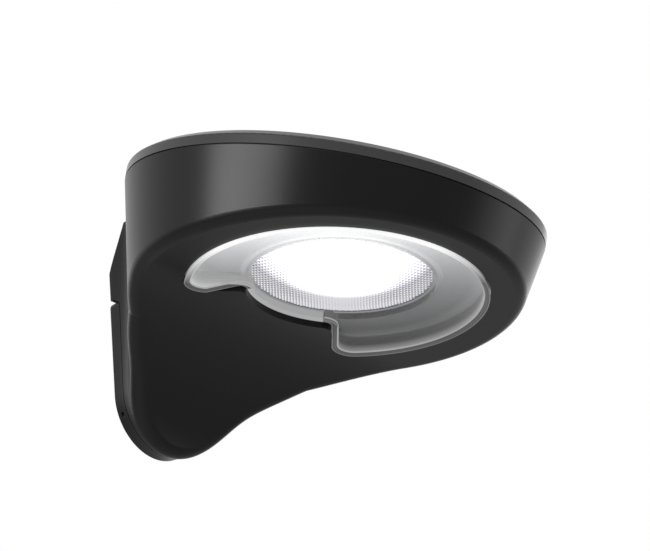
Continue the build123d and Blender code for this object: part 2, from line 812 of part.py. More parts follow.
def panel_wires():
    pieces = []
    for side in (-1, 1):
        x, d = side * (board_half[0] - panel_wire_pad[0]), lens_reach + panel_wire_pad[1]
        top_x, top_y = side * panel_wire_top[0], -panel_wire_top[1]
        start = from_seam(top_x, top_y, panel_w)
        below = from_seam(top_x, top_y, panel_w - panel_wire_run)
        pieces.append(wire([start, below, (x, d, control_top + panel_wire_run),
                            (x, d, control_top)], bend=panel_wire_bend))
    return Compound(children=pieces)


def switch_wires():
    pieces = []
    over = cell_axis_z + cell_r + wire_over_cell
    board_d = lens_reach - board_half[1] + switch_wire_pad
    start = switch_front + switch_d
    straight, high = switch_wire_runs
    for side in (-1, 1):
        x = side * switch_wire_x
        pieces.append(wire([(x, start, button_z), (x, start + straight, button_z),
                            (x, start + high, over), (x, cell_reach + wire_past_cell, over),
                            (x, board_d, over - wire_dip),
                            (x, board_d, control_top)]))
    return Compound(children=pieces)


PIECES = {
    "wall_bracket": wall_bracket, "body_shell": body_shell, "top_cover": top_cover,
    "cover_seal": cover_seal, "cover_screws": cover_screws, "panel_board": panel_board,
    "solar_cells": solar_cells, "panel_window": panel_window, "crescent_lens": crescent_lens,
    "lens_seal": lens_seal, "dome_lens": dome_lens, "reflector": reflector,
    "reflector_screws": reflector_screws, "led_board": led_board, "leds": leds,
    "led_board_screws": led_board_screws, "led_link_pins": led_link_pins,
    "control_board": control_board, "control_chips": control_chips, "capacitors": capacitors,
    "control_screws": control_screws, "battery_cell": battery_cell,
    "battery_holder": battery_holder, "battery_contacts": battery_contacts,
    "battery_wires": battery_wires, "panel_wires": panel_wires, "switch_wires": switch_wires,
    "switch_body": switch_body, "power_button": power_button}


def main():
    os.makedirs("parts", exist_ok=True)
    for name, make in PIECES.items():
        export_step(make(), f"parts/{name}.step")


main()
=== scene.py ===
"""Looks of a solar fence light: black satin housing, clear crescent lens and a lit prismatic dome."""

import math

import bmesh
import bpy
from mathutils import Matrix, Vector
from mathutils.geometry import delaunay_2d_cdt


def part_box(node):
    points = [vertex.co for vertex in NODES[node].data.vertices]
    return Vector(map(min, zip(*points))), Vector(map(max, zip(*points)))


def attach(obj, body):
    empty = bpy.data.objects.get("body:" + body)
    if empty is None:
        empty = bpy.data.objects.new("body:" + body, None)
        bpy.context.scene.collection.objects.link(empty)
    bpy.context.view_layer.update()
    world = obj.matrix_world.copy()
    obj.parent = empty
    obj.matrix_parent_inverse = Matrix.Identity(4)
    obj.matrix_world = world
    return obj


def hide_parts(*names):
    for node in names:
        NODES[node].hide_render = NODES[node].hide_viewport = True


bl_info = {
    "name": "Solar Fence Light",
    "version": (1, 0, 0),
    "blender": (4, 5, 0),
    "location": "3D View > Sidebar > Fence Light",
    "description": "Builds the finishes, lens, dome, cover details and studio of a solar fence light",
    "category": "Add Mesh",
}

MM = 0.001
TURN = 2 * math.pi
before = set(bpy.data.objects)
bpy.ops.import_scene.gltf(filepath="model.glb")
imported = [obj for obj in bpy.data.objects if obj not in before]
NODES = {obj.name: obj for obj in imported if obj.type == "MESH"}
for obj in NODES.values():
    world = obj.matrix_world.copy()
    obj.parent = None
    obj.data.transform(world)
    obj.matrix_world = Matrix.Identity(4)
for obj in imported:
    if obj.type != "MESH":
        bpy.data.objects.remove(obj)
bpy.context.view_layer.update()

# ---- places read from the frame
DOME_LOW, DOME_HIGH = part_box("dome_lens")
DOME_AT = (DOME_LOW + DOME_HIGH) / 2
DOME_BASE_Z = DOME_HIGH.z - 1.0 * MM
LENS_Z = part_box("crescent_lens")[0].z
TRAY_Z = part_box("reflector")[0].z

# ---- seam under the cover, and the dark line along the cover's edge
SEAM_R = 52.5 * MM
SEAM_TILT = math.radians(10.7)
SEAM_AT = Vector((0.0, -61.887 * MM, 29.2 * MM))
COVER_LINE_UP = 2.78 * MM
COVER_LINE_IN = 0.17 * MM
COVER_LINE_R = 0.13 * MM

# ---- clear plate and its lip; an inset is from the outline of the opening towards the inside
PLATE_Z = 10.5 * MM
PLATE_LAP = 0.15 * MM
PLATE_HOLE_GAP = 0.35 * MM
LIP_FACE_INSETS = (0.45 * MM, 1.45 * MM)
LIP_FACE_DROP = 0.03 * MM
WALL_INSETS = (1.75 * MM, 1.6 * MM)
WALL_HEIGHTS = (0.6 * MM, 1.6 * MM)
WALL_TOP_GAP = 0.1 * MM
# beside the dome the lip rises by LIP_RISE; it is level from LIP_LEVEL_R off the dome's middle
LIP_RISE = 2.2 * MM
LIP_LEVEL_R = 33.0 * MM
LIP_RISEN_GAP = 2 * MM
LIP_TOP = 9.0 * MM
# painted bright lines of the lip, as glowing beads: inset, height above the lens's low end and radius
OUTER_LINE = (0.33 * MM, 0.02 * MM, 0.16 * MM)
INNER_LINE = (1.68 * MM, 0.45 * MM, 0.20 * MM)

# ---- rim of the dome
PRISM_LAP = 0.3 * MM
COLLAR_R = 0.3 * MM
COLLAR_GAP = 0.1 * MM
SKIRT_GAP = 0.15 * MM
SKIRT_THICK = 0.3 * MM
SKIRT_FOOT_Z = LENS_Z + 0.5 * MM + 1.6 * MM
FLANGE_INSIDE = 1.0 * MM

# ---- light of the lamp in the lens and the dome
SPILL_ACROSS = (-0.75, -0.66)
SPILL_GROWTH = 6.05
GLARE_X, GLARE_Y = -13.6 * MM, -14.2 * MM
GLARE_CORE, GLARE_END = 15 * MM, 27 * MM

# ---- plastics and metals
SPECULAR = "Specular IOR Level"
GRAIN_SIZE = 0.25 * MM
MOTTLE_SCALE = 38.0
MOTTLE_GAIN, MOTTLE_LIFT = 1.45, 0.0015
MOTTLE_ROUGH = 0.12
LINE_SCALE = 2500.0
LINE_DEPTH = 0.003 * MM
SMUDGE_SCALE = 220.0
SMUDGE_DARK = 0.7
SMUDGE_ROUGH = 0.15
FINGER_PITCH, FINGER_WIDTH = 1.9 * MM, 0.14 * MM

# ---- camera: its axes, and the lens's middle in millimetres with the pixel that shows it
RIGHT = Vector((0.7122, -0.7012, 0.0314))
UP = Vector((-0.3111, -0.2753, 0.9096))
TOWARD = Vector((-0.6292, -0.6576, -0.4142))
LENS_AT_MM = Vector((0.0, -63.5, 8.0))
LENS_PIXEL = (336.4, 290.6)
PICTURE_MIDDLE = (325, 275.5)
PIXELS_PER_MM = 4.04
AIM = (LENS_AT_MM + RIGHT * (PICTURE_MIDDLE[0] - LENS_PIXEL[0]) / PIXELS_PER_MM
       + UP * (LENS_PIXEL[1] - PICTURE_MIDDLE[1]) / PIXELS_PER_MM) * MM
CLIP_END = 100.0

# ---- studio, in metres; a softbox has its direction, distance, size, setting and share of it
FLOOR_HALF = 30
LAMPS_AIM = Vector((0.0, -0.06, 0.01))
SOFTBOXES = {
    "left_softbox": ((-1.0, 0.05, 0.02), 0.9, (0.7, 0.16), "key_power", 1.0),
    "right_softbox": ((0.78, 0.50, 0.36), 0.9, (0.4, 0.3), "rim_power", 0.5),
    "front_softbox": ((0.82, -0.57, 0.0), 0.9, (0.5, 0.12), "rim_power", 1.0),
    "top_softbox": ((-0.2, -0.3, 1.0), 1.2, (0.9, 0.9), "top_power", 1.0),
}
WORLD_LIGHT = 0.55
WORLD_SEEN = 1.0


# ---- sizes and colours a user may change
class FenceLightLens(bpy.types.PropertyGroup):
    """Sizes of the lens and the dome"""
    lens_radius: bpy.props.FloatProperty(
        name="Lens radius", description="Radius of the crescent opening",
        default=38.0 * MM, subtype="DISTANCE", unit="LENGTH")
    tip_radius: bpy.props.FloatProperty(
        name="Tip radius", description="Rounding of the two tips of the crescent",
        default=5.6 * MM, subtype="DISTANCE", unit="LENGTH")
    corner_radius: bpy.props.FloatProperty(
        name="Corner radius", description="Rounding of the black corners beside the dome",
        default=2.5 * MM, subtype="DISTANCE", unit="LENGTH")
    dome_ahead: bpy.props.FloatProperty(
        name="Dome ahead", description="Middle of the dome ahead of the middle of the lens",
        default=1.6 * MM, subtype="DISTANCE", unit="LENGTH")
    dome_radius: bpy.props.FloatProperty(
        name="Dome radius", description="Radius of the dome where it leaves the lens",
        default=22.9 * MM, subtype="DISTANCE", unit="LENGTH")
    tongue_near: bpy.props.FloatProperty(
        name="Tongue near", description="Half width of the tongue at its near place",
        default=13.4 * MM, subtype="DISTANCE", unit="LENGTH")
    tongue_near_reach: bpy.props.FloatProperty(
        name="Tongue near place", description="How far behind the lens's middle that place lies",
        default=15.7 * MM, subtype="DISTANCE", unit="LENGTH")
    tongue_far: bpy.props.FloatProperty(
        name="Tongue far", description="Half width of the tongue at its far place",
        default=20.3 * MM, subtype="DISTANCE", unit="LENGTH")
    tongue_far_reach: bpy.props.FloatProperty(
        name="Tongue far place", description="How far behind the lens's middle that place lies",
        default=22.7 * MM, subtype="DISTANCE", unit="LENGTH")
    dome_notch: bpy.props.FloatProperty(
        name="Dome notch", description="The opening's round around the dome, beyond the dome",
        default=1.0 * MM, subtype="DISTANCE", unit="LENGTH")
    prism_pitch: bpy.props.FloatProperty(
        name="Prism pitch", description="Side of each small pyramid on the dome",
        default=1.05 * MM, subtype="DISTANCE", unit="LENGTH")
    prism_depth: bpy.props.FloatProperty(
        name="Prism depth", description="Height of each small pyramid",
        default=0.28 * MM, subtype="DISTANCE", unit="LENGTH")


class FenceLightColours(bpy.types.PropertyGroup):
    """Colours of the housing and strength of the light"""
    shell: bpy.props.FloatVectorProperty(
        name="Shell", description="Colour of the moulded housing", subtype="COLOR",
        size=4, min=0.0, max=1.0, default=(0.0050, 0.0050, 0.0053, 1.0))
    # lighter than the shell: painted light that stands in for the highlight on the cover's band
    cover: bpy.props.FloatVectorProperty(
        name="Cover", description="Colour of the top cover", subtype="COLOR",
        size=4, min=0.0, max=1.0, default=(0.0230, 0.0230, 0.0235, 1.0))
    lens: bpy.props.FloatVectorProperty(
        name="Lens", description="Tint of the clear crescent lens", subtype="COLOR",
        size=4, min=0.0, max=1.0, default=(0.86, 0.87, 0.88, 1.0))
    tray: bpy.props.FloatVectorProperty(
        name="Tray", description="Colour of the reflector behind the lens", subtype="COLOR",
        size=4, min=0.0, max=1.0, default=(0.07, 0.07, 0.072, 1.0))
    glow: bpy.props.FloatProperty(
        name="Glow", description="Brightness of the lit dome", default=2.6, min=0.0, max=50.0)


class FenceLightStage(bpy.types.PropertyGroup):
    """Studio and camera"""
    lens_mm: bpy.props.FloatProperty(
        name="Focal length", description="Long lens, so that the view is nearly parallel",
        default=1400.0, min=50.0, max=1440.0)
    view_width: bpy.props.FloatProperty(
        name="View width", description="Width of the picture at the light",
        default=159.9 * MM, subtype="DISTANCE", unit="LENGTH")
    floor_drop: bpy.props.FloatProperty(
        name="Floor drop", description="Height of the light's middle above the floor",
        default=0.6, subtype="DISTANCE", unit="LENGTH")
    key_power: bpy.props.FloatProperty(
        name="Side softbox", description="Power of the softbox at the left",
        default=7.0, min=0.0, max=200.0, subtype="POWER", unit="POWER")
    rim_power: bpy.props.FloatProperty(
        name="Rim softbox", description="Power of the softbox in front; half of it is at the right",
        default=0.6, min=0.0, max=200.0, subtype="POWER", unit="POWER")
    top_power: bpy.props.FloatProperty(
        name="Top softbox", description="Power of the softbox above",
        default=4.0, min=0.0, max=200.0, subtype="POWER", unit="POWER")


# ---- shader nodes
def feed(tree, sockets, values):
    """Link or set each socket; None leaves it as it is."""
    for socket, value in zip(sockets, values):
        if hasattr(value, "is_output"):
            tree.links.new(value, socket)
        elif value is not None:
            socket.default_value = value


def node(tree, kind, **settings):
    """A node with its settings; a socket's is given by the socket's name, with _ for a space."""
    made = tree.nodes.new(kind)
    for key, value in settings.items():
        if hasattr(made, key):
            setattr(made, key, value)
        else:
            label = key.replace("_", " ").lower()
            found = [s for s in made.inputs if s.name.lower() == label and s.enabled]
            feed(tree, [found[0]], [value])
    return made


def math_node(tree, operation, *values, clamp=False):
    """Answer of a Math node."""
    made = node(tree, "ShaderNodeMath", operation=operation, use_clamp=clamp)
    feed(tree, made.inputs, values)
    return made.outputs[0]


def vector_math(tree, operation, *values):
    """Answer of a Vector Math node: a number for a length, a distance or a dot product."""
    made = node(tree, "ShaderNodeVectorMath", operation=operation)
    feed(tree, made.inputs, values)
    is_number = operation in ("LENGTH", "DISTANCE", "DOT_PRODUCT")
    return made.outputs["Value" if is_number else "Vector"]


def map_range(tree, value, low, high, to_low, to_high):
    """The value carried from one range to another, held at both ends."""
    made = tree.nodes.new("ShaderNodeMapRange")
    labels = ("Value", "From Min", "From Max", "To Min", "To Max")
    feed(tree, [made.inputs[label] for label in labels], (value, low, high, to_low, to_high))
    return made.outputs["Result"]


def mix_colours(tree, factor, a, b):
    """Mix of two colours; a Mix node keeps its colour sockets at 6, 7 and 2."""
    made = node(tree, "ShaderNodeMix", data_type="RGBA")
    feed(tree, [made.inputs[i] for i in (0, 6, 7)], (factor, a, b))
    return made.outputs[2]


def object_place(tree):
    """Place on the piece, in metres from the frame's origin."""
    return node(tree, "ShaderNodeTexCoord").outputs["Object"]


# ---- shader node groups
def new_group(name, inputs, outputs):
    """An empty shader node group with these sockets: (name, type, default)."""
    tree = bpy.data.node_groups.new(name, "ShaderNodeTree")
    for label, kind, default in inputs:
        tree.interface.new_socket(label, in_out="INPUT", socket_type=kind).default_value = default
    for label, kind in outputs:
        tree.interface.new_socket(label, in_out="OUTPUT", socket_type=kind)
    ends = tree.nodes.new("NodeGroupInput"), tree.nodes.new("NodeGroupOutput")
    return tree, ends[0].outputs, ends[1].inputs


def moulded_grain():
    """Fine spark-eroded grain of moulded plastic, with a slow change of tone."""
    tree, given, out = new_group(
        "Moulded Grain",
        [("Grain Size", "NodeSocketFloat", GRAIN_SIZE), ("Tone", "NodeSocketFloat", 0.15)],
        [("Height", "NodeSocketFloat"), ("Mottle", "NodeSocketFloat")])
    place = object_place(tree)
    scale = math_node(tree, "DIVIDE", 1.0, given["Grain Size"])
    noise = node(tree, "ShaderNodeTexNoise", Vector=place, Scale=scale, Detail=2.0, Roughness=0.6)
    cells = node(tree, "ShaderNodeTexVoronoi", Vector=place, Scale=scale)
    both = math_node(tree, "ADD", noise.outputs["Fac"], cells.outputs["Distance"])
    tree.links.new(math_node(tree, "MULTIPLY", both, 0.5), out["Height"])
    slow = node(tree, "ShaderNodeTexNoise", Vector=place, Scale=MOTTLE_SCALE, Detail=3.0,
                Roughness=0.55)
    spread = map_range(tree, slow.outputs["Fac"], 0.3, 0.7, 0.0, 1.0)
    tree.links.new(math_node(tree, "MULTIPLY", spread, given["Tone"]), out["Mottle"])
    return tree


def brushed_metal():
    """Fine drawn lines along one axis, for plated screws and contacts."""
    tree, given, out = new_group(
        "Brushed Metal", [("Line Scale", "NodeSocketFloat", LINE_SCALE)],
        [("Height", "NodeSocketFloat"), ("Smudge", "NodeSocketFloat")])
    place = object_place(tree)
    stretch = node(tree, "ShaderNodeMapping", Vector=place, Scale=(1.0, 1.0, 0.06))
    lines = node(tree, "ShaderNodeTexNoise", Vector=stretch.outputs[0],
                 Scale=given["Line Scale"], Detail=2.0)
    tree.links.new(lines.outputs["Fac"], out["Height"])
    smudge = node(tree, "ShaderNodeTexNoise", Vector=place, Scale=SMUDGE_SCALE, Detail=3.0)
    tree.links.new(smudge.outputs["Fac"], out["Smudge"])
    return tree


EFFECTS = {"Moulded Grain": moulded_grain, "Brushed Metal": brushed_metal}
GROUPS = {}


def effect(tree, name, **values):
    """One of the shared effects, placed in a material with its own values."""
    if name not in GROUPS:
        GROUPS[name] = EFFECTS[name]()
    made = tree.nodes.new("ShaderNodeGroup")
    made.node_tree = GROUPS[name]
    for key, value in values.items():
        made.inputs[key.replace("_", " ")].default_value = value
    return made.outputs


# ---- materials
def blank_material(name):
    """A new material with its node tree and its Principled shader."""
    made = bpy.data.materials.new(name)
    made.use_nodes = True
    return made, made.node_tree, made.node_tree.nodes["Principled BSDF"]


def set_sockets(shader, values):
    """Set the shader's sockets by name."""
    for key, value in values.items():
        shader.inputs[key].default_value = value


def toned(colour, gain, lift=0.0):
    """The colour times gain plus lift, at most white."""
    return tuple(min(1.0, c * gain + lift) for c in colour[:3]) + (1.0,)


def add_bump(tree, shader, height, depth):
    """Relief of this depth on the shader's surface."""
    bump = node(tree, "ShaderNodeBump", Height=height, Distance=depth, Strength=1.0)
    tree.links.new(bump.outputs["Normal"], shader.inputs["Normal"])


def plastic(name, colour, rough, depth=0.004 * MM, tone=0.2, **sockets):
    """A moulded plastic: grain bump, slow tone and a varying roughness."""
    made, tree, shader = blank_material(name)
    grained = effect(tree, "Moulded Grain", Grain_Size=GRAIN_SIZE, Tone=tone)
    light = toned(colour, MOTTLE_GAIN, MOTTLE_LIFT)
    tree.links.new(mix_colours(tree, grained["Mottle"], tuple(colour), light),
                   shader.inputs["Base Color"])
    tree.links.new(map_range(tree, grained["Mottle"], 0.0, 1.0, rough, rough + MOTTLE_ROUGH),
                   shader.inputs["Roughness"])
    add_bump(tree, shader, grained["Height"], depth)
    set_sockets(shader, sockets)
    return made


def metal(name, colour, rough):
    """A plated metal: drawn lines and smudges."""
    made, tree, shader = blank_material(name)
    brushed = effect(tree, "Brushed Metal", Line_Scale=LINE_SCALE)
    dark = toned(colour, SMUDGE_DARK)
    tree.links.new(mix_colours(tree, brushed["Smudge"], dark, tuple(colour)),
                   shader.inputs["Base Color"])
    tree.links.new(map_range(tree, brushed["Smudge"], 0.3, 0.7, rough, rough + SMUDGE_ROUGH),
                   shader.inputs["Roughness"])
    add_bump(tree, shader, brushed["Height"], LINE_DEPTH)
    set_sockets(shader, {"Metallic": 1.0})
    return made


def clear_lens_material(colours):
    """Clear plastic of the crescent plate, slightly uneven."""
    made, tree, shader = blank_material("clear_lens")
    grained = effect(tree, "Moulded Grain", Grain_Size=0.6 * MM, Tone=0.3)
    tree.links.new(map_range(tree, grained["Mottle"], 0.0, 1.0, 0.10, 0.22),
                   shader.inputs["Roughness"])
    set_sockets(shader, {"Base Color": tuple(colours.lens), "Transmission Weight": 0.95, "IOR": 1.36})
    return made


def reach_from(tree, middle):
    """Level distance from an upright axis."""
    away = vector_math(tree, "SUBTRACT", object_place(tree), middle)
    return vector_math(tree, "LENGTH", vector_math(tree, "MULTIPLY", away, (1.0, 1.0, 0.0)))


def spill(tree, radius):
    """-1 to 1 across the lens, rising towards the side that the lamp lights most."""
    away = vector_math(tree, "SUBTRACT", object_place(tree), (DOME_AT.x, DOME_AT.y, 0.0))
    across = (SPILL_ACROSS[0] / radius, SPILL_ACROSS[1] / radius, 0.0)
    return vector_math(tree, "DOT_PRODUCT", away, across)


def spilled_light(tree, radius, gain, offset):
    """Light that grows by equal factors across the lens."""
    growth = math_node(tree, "POWER", SPILL_GROWTH, spill(tree, radius))
    return math_node(tree, "MULTIPLY_ADD", growth, gain, offset)


def tray_material(colours, lens):
    """Grey reflector with painted light: a glow along its front, standing for the lamp's light, and a
    painted glow near the brim of the opening.
    """
    made, tree, shader = blank_material("reflector_grey")
    grained = effect(tree, "Moulded Grain", Grain_Size=0.5 * MM, Tone=0.12)
    light = toned(colours.tray, 1.4)
    tree.links.new(mix_colours(tree, grained["Mottle"], tuple(colours.tray), light),
                   shader.inputs["Base Color"])
    # painted light: glow growing across the lens, plus a painted glow near the opening's brim
    direct = spilled_light(tree, lens.lens_radius, 0.40, -0.09)
    reach = math_node(tree, "DIVIDE", reach_from(tree, lens_middle(lens)), lens.lens_radius)
    brim_glow = map_range(tree, reach, 0.86, 0.97, 0.0, 0.16)
    total = math_node(tree, "ADD", math_node(tree, "MAXIMUM", direct, 0.0), brim_glow)
    tree.links.new(total, shader.inputs["Emission Color"])
    set_sockets(shader, {"Roughness": 0.35, "Emission Strength": 1.0})
    return made


def lip_material(name, lens, dim, lit):
    """Clear lip that carries the lamp's light: dim on one side and lit on the other."""
    made, tree, shader = blank_material(name)
    grained = effect(tree, "Moulded Grain", Grain_Size=0.5 * MM, Tone=0.25)
    glow = map_range(tree, spill(tree, lens.lens_radius), 0.12, 0.66, dim, lit)
    less = map_range(tree, grained["Mottle"], 0.0, 1.0, 1.0, 0.5)
    tree.links.new(math_node(tree, "MULTIPLY", glow, less), shader.inputs["Emission Color"])
    set_sockets(shader, {"Base Color": (0.05, 0.05, 0.052, 1), "Roughness": 0.25,
                         "Emission Strength": 1.0, SPECULAR: 0.3})
    return made


def side_wall_material(lens):
    """Wall of the recess around the reflector, with painted light from inside, brighter near the lip;
    clear from its outer side.
    """
    made, tree, shader = blank_material("lens_side_wall")
    height = node(tree, "ShaderNodeSeparateXYZ", Vector=object_place(tree)).outputs["Z"]
    # painted glow, brighter just above the lip
    lip_glow = map_range(tree, height, LENS_Z + 0.6 * MM, LENS_Z + 2.4 * MM, 0.18, 0.0)
    direct = spilled_light(tree, lens.lens_radius, 0.33, 0.0)
    tree.links.new(math_node(tree, "ADD", direct, lip_glow), shader.inputs["Emission Color"])
    outer = node(tree, "ShaderNodeNewGeometry").outputs["Backfacing"]
    tree.links.new(math_node(tree, "SUBTRACT", 1.0, outer), shader.inputs["Alpha"])
    set_sockets(shader, {"Base Color": (0.06, 0.06, 0.062, 1), "Roughness": 0.4,
                         "Emission Strength": 1.0, SPECULAR: 0.2})
    return made


def dome_material(colours, radius):
    """Clear prisms lit from behind: painted glare blows them out at one side, and painted shade darkens
    the outward-facing facets near the rim.
    """
    made, tree, shader = blank_material("lit_prisms")
    place = object_place(tree)
    away = vector_math(tree, "SUBTRACT", place, (DOME_AT.x, DOME_AT.y, DOME_HIGH.z))
    reach = math_node(tree, "DIVIDE", vector_math(tree, "LENGTH", away), radius)
    normal = node(tree, "ShaderNodeNewGeometry").outputs["True Normal"]
    facing = vector_math(tree, "DOT_PRODUCT", vector_math(tree, "NORMALIZE", away), normal)
    outward = map_range(tree, facing, -0.2, 0.45, 0.0, 1.0)
    rim = map_range(tree, reach, 0.1, 0.65, 0.0, 1.0)
    # painted shade: the facets that face outward near the rim are shaded
    shade = math_node(tree, "MULTIPLY", rim, outward, clamp=True)
    # painted glare: the emission is blown out round a point off the dome's middle and fades to grey away
    # from it
    glare_at = (DOME_AT.x + GLARE_X, DOME_AT.y + GLARE_Y, DOME_LOW.z)
    from_glare = vector_math(tree, "DISTANCE", place, glare_at)
    glare = map_range(tree, from_glare, GLARE_CORE, GLARE_END, 1.0, 0.0)
    # emission colour: painted shade turns the shaded facets dark violet-grey
    lattice = mix_colours(tree, shade, (1.0, 1.0, 1.0, 1), (0.27, 0.26, 0.31, 1))
    glare_fade = mix_colours(tree, glare, (0.20, 0.20, 0.205, 1), (1.6, 1.6, 1.6, 1))
    tree.links.new(vector_math(tree, "MULTIPLY", lattice, glare_fade), shader.inputs["Emission Color"])
    # painted shade in the base colour too: the shaded facets are darker grey
    tree.links.new(mix_colours(tree, shade, (0.6, 0.6, 0.6, 1), (0.2, 0.2, 0.22, 1)),
                   shader.inputs["Base Color"])
    set_sockets(shader, {"Emission Strength": colours.glow, "Roughness": 0.15})
    return made


def solar_material():
    """Dark blue silicon with thin silver fingers across the strips."""
    made, tree, shader = blank_material("solar_silicon")
    place = object_place(tree)
    along = node(tree, "ShaderNodeSeparateXYZ", Vector=place).outputs["Y"]
    wave = math_node(tree, "MODULO", math_node(tree, "ABSOLUTE", along), FINGER_PITCH)
    finger = math_node(tree, "LESS_THAN", wave, FINGER_WIDTH)
    crystals = node(tree, "ShaderNodeTexVoronoi", Vector=place, Scale=260.0)
    silicon = mix_colours(tree, crystals.outputs["Distance"], (0.006, 0.010, 0.035, 1),
                          (0.012, 0.022, 0.075, 1))
    tree.links.new(mix_colours(tree, finger, silicon, (0.45, 0.46, 0.48, 1)),
                   shader.inputs["Base Color"])
    tree.links.new(map_range(tree, finger, 0.0, 1.0, 0.22, 0.45), shader.inputs["Roughness"])
    return made


def window_material():
    """Clear pebbled sheet over the solar cells."""
    made, tree, shader = blank_material("panel_resin")
    pebble = node(tree, "ShaderNodeTexVoronoi", Vector=object_place(tree), Scale=900.0)
    add_bump(tree, shader, pebble.outputs["Distance"], 0.05 * MM)
    set_sockets(shader, {"Base Color": (0.96, 0.97, 0.98, 1), "Roughness": 0.08,
                         "Transmission Weight": 1.0, "IOR": 1.45})
    return made


def dress(names, material):
    """Give CAD nodes a material."""
    for name in names:
        shown = NODES[name]
        if shown.material_slots:
            for slot in shown.material_slots:
                slot.material = material
        else:
            shown.data.materials.append(material)


# ---- mesh helpers
def mesh_object(name, points, faces, smooth=True):
    """A mesh in the scene, from points and faces."""
    mesh = bpy.data.meshes.new(name)
    mesh.from_pydata([tuple(p) for p in points], [], faces)
    mesh.validate()
    mesh.update()
    made = bpy.data.objects.new(name, mesh)
    bpy.context.scene.collection.objects.link(made)
    for face in mesh.polygons:
        face.use_smooth = smooth
    return made


def tidy_normals(obj):
    """Join doubled points and turn the faces outwards."""
    work = bmesh.new()
    work.from_mesh(obj.data)
    bmesh.ops.remove_doubles(work, verts=work.verts, dist=1e-7)
    bmesh.ops.recalc_face_normals(work, faces=work.faces)
    work.to_mesh(obj.data)
    work.free()


def finish_piece(obj, body, material, replaces=()):
    """Give a piece its material and its body, and hide the CAD nodes it stands for."""
    obj.data.materials.clear()
    obj.data.materials.append(material)
    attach(obj, body)
    if replaces:
        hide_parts(*replaces)
    return obj


def row_faces(rows, across, ring=False, closed=True):
    """Faces between rows of points; closed joins each row's ends, ring the last row to the first."""
    faces = []
    for i in range(rows if ring else rows - 1):
        here, there = i * across, (i + 1) % rows * across
        for k in range(across if closed else across - 1):
            after = (k + 1) % across
            faces.append((here + k, there + k, there + after, here + after))
    return faces


def end_faces(rows, across):
    """The faces that close the first and the last row."""
    last = (rows - 1) * across
    return [tuple(range(across)), tuple(last + k for k in reversed(range(across)))]


def bead(inset, height, radius, count=12):
    """Round section of a bead."""
    return [(inset + radius * math.cos(TURN * i / count),
             height + radius * math.sin(TURN * i / count)) for i in range(count)]


def turned_rows(profile, centre, angles):
    """The section's (radius, height) points at each angle about an upright axis."""
    return [(centre.x + r * math.cos(angle), centre.y + r * math.sin(angle), z)
            for angle in angles for r, z in profile]


def turned(name, profile, centre, count=192, smooth=True):
    """A ring turned about an upright axis."""
    points = turned_rows(profile, centre, [TURN * i / count for i in range(count)])
    made = mesh_object(name, points, row_faces(count, len(profile), ring=True), smooth)
    tidy_normals(made)
    return made


def arc(centre, radius, start, end, count):
    """Points and outward unit vectors of an arc from start to end, in radians."""
    made = []
    for i in range(count + 1):
        angle = start + (end - start) * i / count
        out = Vector((math.cos(angle), math.sin(angle)))
        made.append((centre + out * radius, out))
    return made


def is_inside(place, loop):
    """Whether a flat point lies inside a closed loop."""
    hit = False
    for (x0, y0), (x1, y1) in zip(loop, loop[1:] + loop[:1]):
        if (y0 > place[1]) != (y1 > place[1]):
            hit ^= place[0] < (x1 - x0) * (place[1] - y0) / (y1 - y0) + x0
    return hit


# ---- shape of the lens, about the middle of its opening
def lens_middle(lens):
    """Middle of the lens opening, at the level of the frame's origin."""
    return Vector((0.0, DOME_AT.y + lens.dome_ahead, 0.0))


def dome_middle(lens):
    """Middle of the dome as seen from the middle of the lens opening."""
    return Vector((0.0, -lens.dome_ahead))


def direction_of(vector):
    """Angle of a flat vector."""
    return math.atan2(vector.y, vector.x)


def opening_outline(lens, step=math.radians(2.0)):
    """The lens opening about the middle of the lens, wall towards +y: points and inward normals.

    It runs from the tongue's right corner beside the dome, round the right tip, the front and
    the left tip, to the tongue's left corner.
    """
    big, tip, corner = lens.lens_radius, lens.tip_radius, lens.corner_radius
    dome_at = dome_middle(lens)
    near = Vector((lens.tongue_near, lens.tongue_near_reach))
    far = Vector((lens.tongue_far, lens.tongue_far_reach))
    side = (far - near).normalized()
    normal = Vector((side.y, -side.x))

    def on_side(offset, about, reach):
        """Place at this distance beside the tongue's side and this far from a point."""
        start = near + normal * offset - about
        along = start.dot(side)
        return about + start + side * (math.sqrt(along ** 2 - start.dot(start) + reach ** 2) - along)

    def round_of(centre, radius, start, sweep, sign):
        """Rounded part of the outline; sign turns its normals."""
        count = max(2, int(abs(sweep) / step))
        return [(p, n * sign) for p, n in arc(centre, radius, start, start + sweep, count)]

    tip_at = on_side(tip, Vector((0.0, 0.0)), big - tip)
    corner_at = on_side(-corner, dome_at, lens.dome_radius + lens.dome_notch + corner)
    tip_start, tip_end = direction_of(-normal), direction_of(tip_at)
    tip_sweep = -((tip_start - tip_end) % TURN)
    corner_start, corner_end = direction_of(dome_at - corner_at), direction_of(normal)
    corner_sweep = (corner_end - corner_start + math.pi) % TURN - math.pi
    right = round_of(corner_at, corner, corner_start, corner_sweep, 1)
    right += round_of(tip_at, tip, tip_start, tip_sweep, -1)
    left = [(Vector((-p.x, p.y)), Vector((-n.x, n.y))) for p, n in reversed(right)]
    front = round_of(Vector((0.0, 0.0)), big, tip_end, -math.pi - 2 * tip_end, -1)
    return right + front[1:-1] + left


def sweep_outline(name, outline, lens, profile, closed=True):
    """A strip or bead along the opening, from (inset, height) points.

    Beside the dome it rises towards the lens, as the lip does there.
    """
    middle, dome_at = lens_middle(lens), dome_middle(lens)
    rise_over = LIP_LEVEL_R - lens.dome_radius - LIP_RISEN_GAP
    points = []
    for point, inward in outline:
        share = (LIP_LEVEL_R - (point - dome_at).length) / rise_over
        rise = LIP_RISE * min(1.0, max(0.0, share))
        for inset, height in profile:
            at = point + inward * inset
            points.append((middle.x + at.x, middle.y + at.y, height + rise * (height < LIP_TOP)))
    rows, across = len(outline), len(profile)
    faces = row_faces(rows, across, closed=closed)
    if closed:
        faces += end_faces(rows, across)
    made = mesh_object(name, points, faces)
    if closed:
        tidy_normals(made)
    return made


